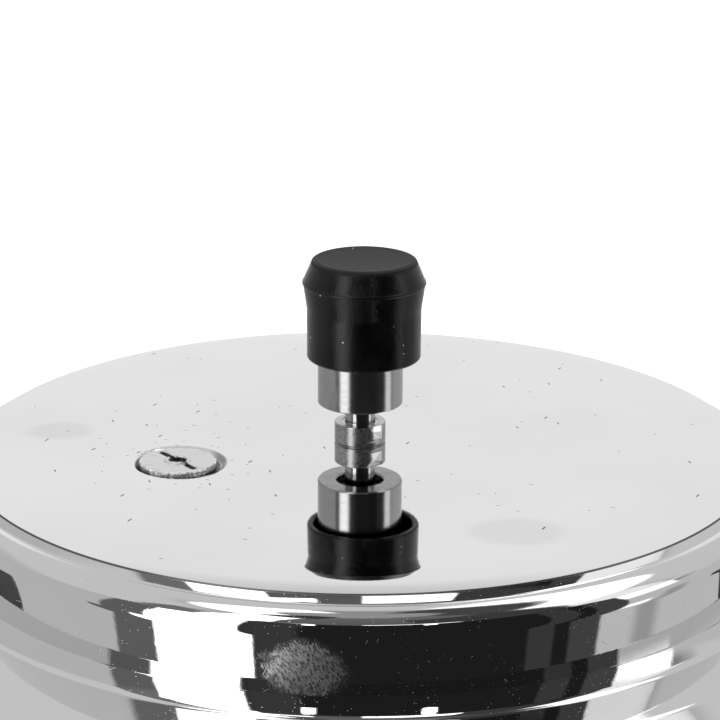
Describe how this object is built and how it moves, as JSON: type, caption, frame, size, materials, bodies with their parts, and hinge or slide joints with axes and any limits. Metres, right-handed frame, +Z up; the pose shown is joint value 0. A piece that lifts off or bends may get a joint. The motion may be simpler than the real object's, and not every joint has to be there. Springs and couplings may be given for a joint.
{
  "type": "stovetop pressure cooker",
  "caption": "Round steel pressure cooker for a stove, with a stepped outer lid that turns to lock, a lift-off steam weight, a slotted safety plug, a long handle and a helper handle.",
  "frame": {"origin": "centre of the base's flat underside", "axes": "+Z up through the pot, the vent and the weight; +X from the pot's axis along its long handle; -X towards the helper handle; -Y is the front"},
  "size_m": [0.45, 0.2377, 0.2157],
  "materials": {
    "mirror_steel": "mirror-polished stainless steel sheet",
    "turned_steel": "lathe-turned bright stainless steel",
    "satin_steel": "satin stainless steel",
    "aluminium": "dull machined aluminium",
    "fusible_alloy": "cast low-melting alloy",
    "phenolic": "black moulded phenolic, fine satin",
    "cap_plastic": "black moulded plastic, finely grained satin",
    "rubber": "dark grey moulded rubber"
  },
  "bodies": {
    "pot": {"pot_body": "mirror_steel", "base_core": "aluminium", "base_cover": "satin_steel", "pot_bracket": "satin_steel", "pot_flame_guard": "mirror_steel", "pot_handle": "phenolic", "pot_screw_inner": "satin_steel", "pot_screw_outer": "satin_steel", "helper_bracket": "satin_steel", "helper_handle": "phenolic", "helper_screw_front": "satin_steel", "helper_screw_rear": "satin_steel"},
    "gasket": {"gasket": "rubber"},
    "lid": {"lid_shell": "mirror_steel", "vent_tube": "turned_steel", "vent_seal": "rubber", "vent_nut": "satin_steel", "safety_plug": "aluminium", "fusible_core": "fusible_alloy", "plug_seal": "rubber", "plug_nut": "satin_steel", "lid_bracket": "satin_steel", "lid_handle": "phenolic", "lid_screw_inner": "satin_steel", "lid_screw_outer": "satin_steel"},
    "clip": {"weight_clip": "satin_steel"},
    "weight": {"weight_body": "turned_steel", "weight_cap": "cap_plastic", "weight_needle": "turned_steel"}
  },
  "joints": [
    {"name": "lid_lift", "type": "slide", "parent": "pot", "child": "gasket", "axis": [0, 0, 1], "range_m": [0, 0.2]},
    {"name": "lid_turn", "type": "hinge", "parent": "gasket", "child": "lid", "pos_m": [0, 0, 0.131], "axis": [0, 0, 1], "range_deg": [-22.5, 0]},
    {"name": "weight_lift", "type": "slide", "parent": "lid", "child": "clip", "axis": [0, 0, 1], "range_m": [0, 0.035]},
    {"name": "weight_spin", "type": "hinge", "parent": "clip", "child": "weight", "pos_m": [0, 0, 0.19], "axis": [0, 0, 1], "continuous": true}
  ]
}
